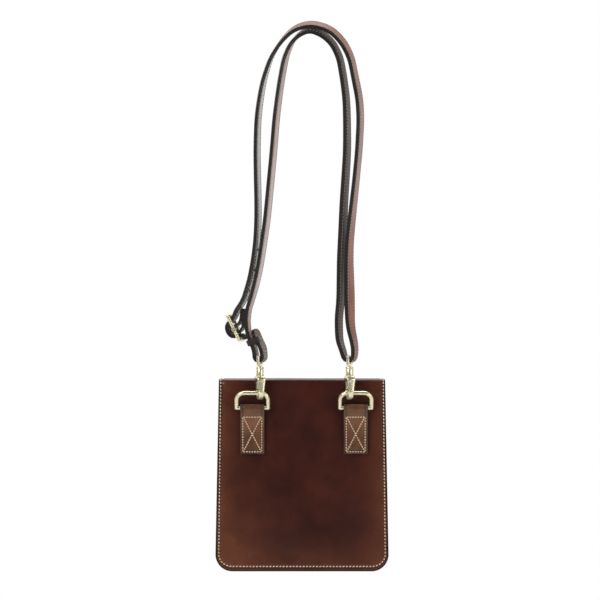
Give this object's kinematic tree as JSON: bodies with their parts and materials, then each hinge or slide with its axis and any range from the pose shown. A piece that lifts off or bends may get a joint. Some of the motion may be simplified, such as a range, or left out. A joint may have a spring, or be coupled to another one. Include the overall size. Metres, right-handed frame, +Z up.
{
  "type": "crossbody purse",
  "caption": "Flat leather crossbody purse with a fold-over flap and a long adjustable strap clipped by swivel snap hooks to D-rings on its back.",
  "frame": {"origin": "the point on the underside of the strap's arch that it hangs from, at the middle of the strap's width", "axes": "+Z up with the bag hanging, +Y from the bag's back (with the rings) towards its flap side, +X to the right seen from the back"},
  "size_m": [0.18, 0.0704, 0.5702],
  "materials": {
    "bag_leather": "smooth dark oxblood brown leather with a soft polish and black painted edges",
    "tab_leather": "smooth dark brown leather with pale stitching",
    "strap_leather": "dark brown belt leather with near-black painted edges and pale stitching",
    "suede_lining": "matt tan suede",
    "antique_brass": "pale antique brass, lightly brushed",
    "plain_steel": "plain zinc-plated steel"
  },
  "bodies": {
    "strap": {"strap_face_ply": "strap_leather", "strap_lining_ply": "strap_leather", "buckle_chape": "strap_leather", "buckle_frame": "antique_brass", "buckle_bar": "antique_brass", "swivel_eye_left": "antique_brass", "swivel_eye_right": "antique_brass"},
    "prong": {"buckle_prong": "antique_brass"},
    "keeper": {"keeper_loop": "strap_leather"},
    "ring_left": {"d_ring_left": "antique_brass"},
    "ring_right": {"d_ring_right": "antique_brass"},
    "bag": {"back_panel": "bag_leather", "back_lining": "suede_lining", "front_panel": "bag_leather", "front_lining": "suede_lining", "gusset": "bag_leather", "gusset_lining": "suede_lining", "ring_tab_left": "tab_leather", "ring_tab_right": "tab_leather", "snap_socket": "antique_brass", "snap_magnet": "plain_steel", "snap_socket_washer": "plain_steel"},
    "flap": {"flap_panel": "bag_leather", "flap_lining": "suede_lining", "snap_stud": "antique_brass"},
    "hook_left": {"hook_body_left": "antique_brass", "gate_pin_left": "antique_brass", "gate_spring_left": "plain_steel"},
    "gate_left": {"gate_left": "antique_brass"},
    "hook_right": {"hook_body_right": "antique_brass", "gate_pin_right": "antique_brass", "gate_spring_right": "plain_steel"},
    "gate_right": {"gate_right": "antique_brass"}
  },
  "joints": [
    {"name": "hook_left_swivel", "type": "hinge", "parent": "strap", "child": "hook_left", "pos_m": [-0.053, 0, -0.352], "axis": [0, 0, 1], "range_deg": [-12, 8]},
    {"name": "gate_left_hinge", "type": "hinge", "parent": "hook_left", "child": "gate_left", "pos_m": [-0.05458, 0.00589, -0.3598], "axis": [-0.9659, -0.2588, 0], "range_deg": [0, 22], "stiffness_Nm_per_rad": 0.01, "springref_deg": -17.19},
    {"name": "hook_right_swivel", "type": "hinge", "parent": "strap", "child": "hook_right", "pos_m": [0.04, 0, -0.352], "axis": [0, 0, 1], "range_deg": [-12, 8]},
    {"name": "gate_right_hinge", "type": "hinge", "parent": "hook_right", "child": "gate_right", "pos_m": [0.03842, 0.00589, -0.3598], "axis": [-0.9659, -0.2588, 0], "range_deg": [0, 22], "stiffness_Nm_per_rad": 0.01, "springref_deg": -17.19},
    {"name": "ring_left_swing", "type": "hinge", "parent": "strap", "child": "ring_left", "pos_m": [-0.061, 0, -0.375], "axis": [1, 0, 0], "range_deg": [-5, 9]},
    {"name": "ring_right_swing", "type": "hinge", "parent": "strap", "child": "ring_right", "pos_m": [0.0465, 0, -0.375], "axis": [1, 0, 0], "range_deg": [-5, 9]},
    {"name": "bag_swing", "type": "hinge", "parent": "ring_left", "child": "bag", "pos_m": [-0.061, 0.0068, -0.3905], "axis": [-1, 0, 0], "range_deg": [0, 95]},
    {"name": "flap_lift", "type": "hinge", "parent": "bag", "child": "flap", "pos_m": [-0.0093, 0.01715, -0.36], "axis": [1, 0, 0], "range_deg": [0, 96]},
    {"name": "prong_lift", "type": "hinge", "parent": "strap", "child": "prong", "pos_m": [-0.07767, 0, -0.30878], "axis": [-0.156, -0.9878, 0], "range_deg": [0, 7]},
    {"name": "keeper_slide", "type": "slide", "parent": "strap", "child": "keeper", "axis": [0.3987, 0, -0.9171], "range_m": [-0.0015, 0.001]}
  ],
  "couplings": [
    {"joint": "ring_right_swing", "follows": "ring_left_swing", "ratio": 1}
  ]
}
